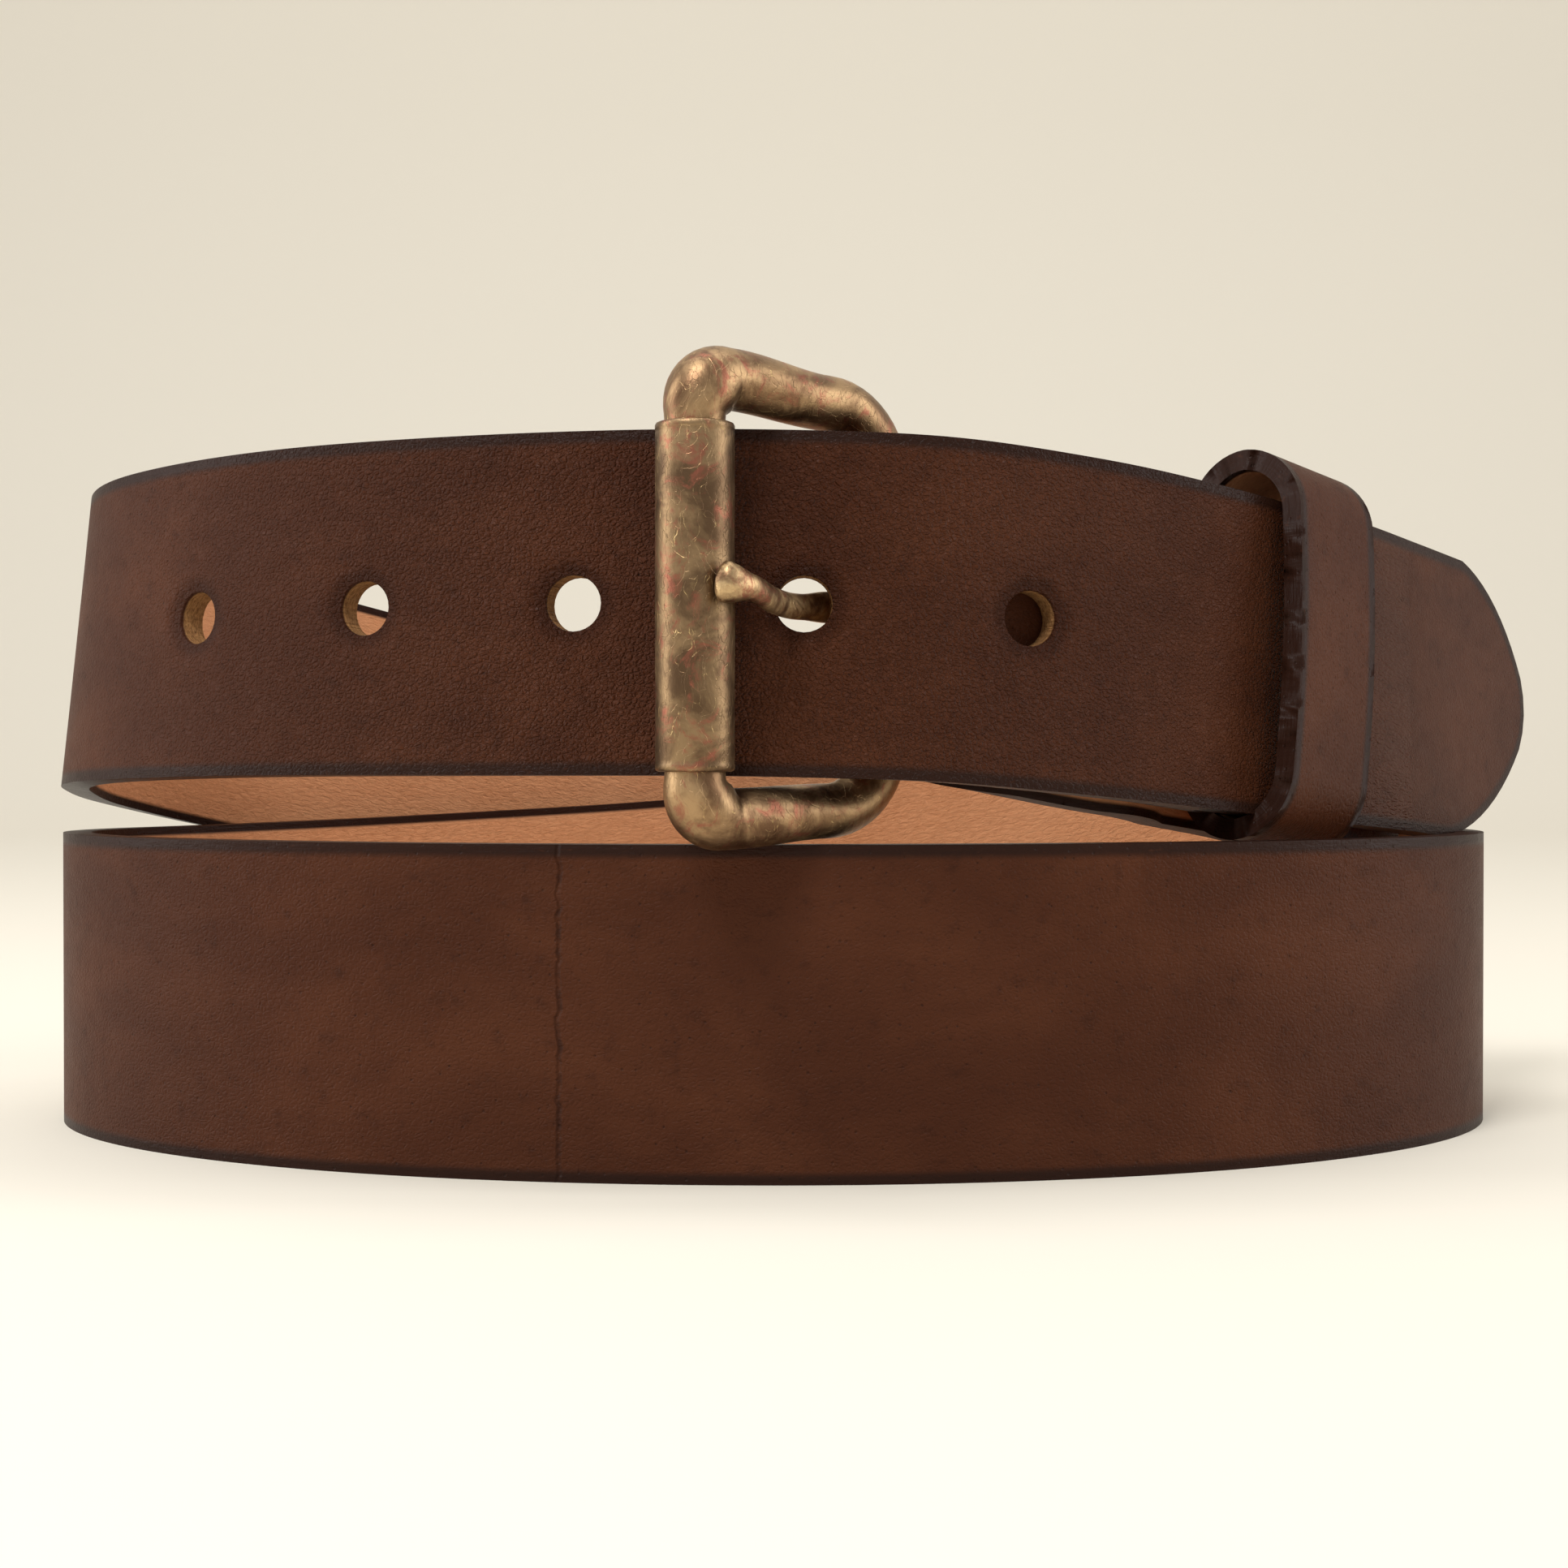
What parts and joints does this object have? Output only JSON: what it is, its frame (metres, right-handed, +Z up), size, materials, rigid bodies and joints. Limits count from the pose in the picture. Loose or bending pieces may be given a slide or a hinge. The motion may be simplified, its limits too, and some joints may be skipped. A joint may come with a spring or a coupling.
{
  "type": "leather belt",
  "caption": "Brown leather belt with a brass roller buckle, coiled and buckled, with round holes, a keeper loop and a pointed tip.",
  "frame": {"origin": "centre of the bounding box in plan, at the height the lower turn rests on", "axes": "+Z up, -Y towards the buckle and the viewer, +X towards the strap's tip"},
  "size_m": [0.203, 0.1344, 0.0912],
  "materials": {
    "strap_leather": "smooth grain, semi-gloss",
    "keeper_leather": "smooth grain, semi-gloss",
    "staple_wire": "plain wire",
    "buckle_brass": "antiqued, worn",
    "roller_brass": "antiqued, scratched",
    "prong_brass": "antiqued, rubbed bright",
    "fastener_brass": "antiqued"
  },
  "bodies": {
    "strap": {"strap": "strap_leather", "keeper": "keeper_leather", "keeper_staple_front": "staple_wire", "keeper_staple_rear": "staple_wire", "screw_post_front": "fastener_brass", "screw_post_rear": "fastener_brass", "screw_front": "fastener_brass", "screw_rear": "fastener_brass"},
    "buckle": {"buckle_frame": "buckle_brass"},
    "roller": {"roller": "roller_brass"},
    "prong": {"prong": "prong_brass"}
  },
  "joints": [
    {"name": "buckle_pivot", "type": "hinge", "parent": "strap", "child": "buckle", "pos_m": [0.00712, -0.04429, 0.06475], "axis": [0, 0, 1], "range_deg": [0, 1]},
    {"name": "roller_spin", "type": "hinge", "parent": "buckle", "child": "roller", "pos_m": [-0.01347, -0.06082, 0.06475], "axis": [0, 0, 1], "continuous": true},
    {"name": "prong_swing", "type": "hinge", "parent": "buckle", "child": "prong", "pos_m": [0.00712, -0.04429, 0.06475], "axis": [0, 0, 1], "range_deg": [0, 0.5]}
  ]
}
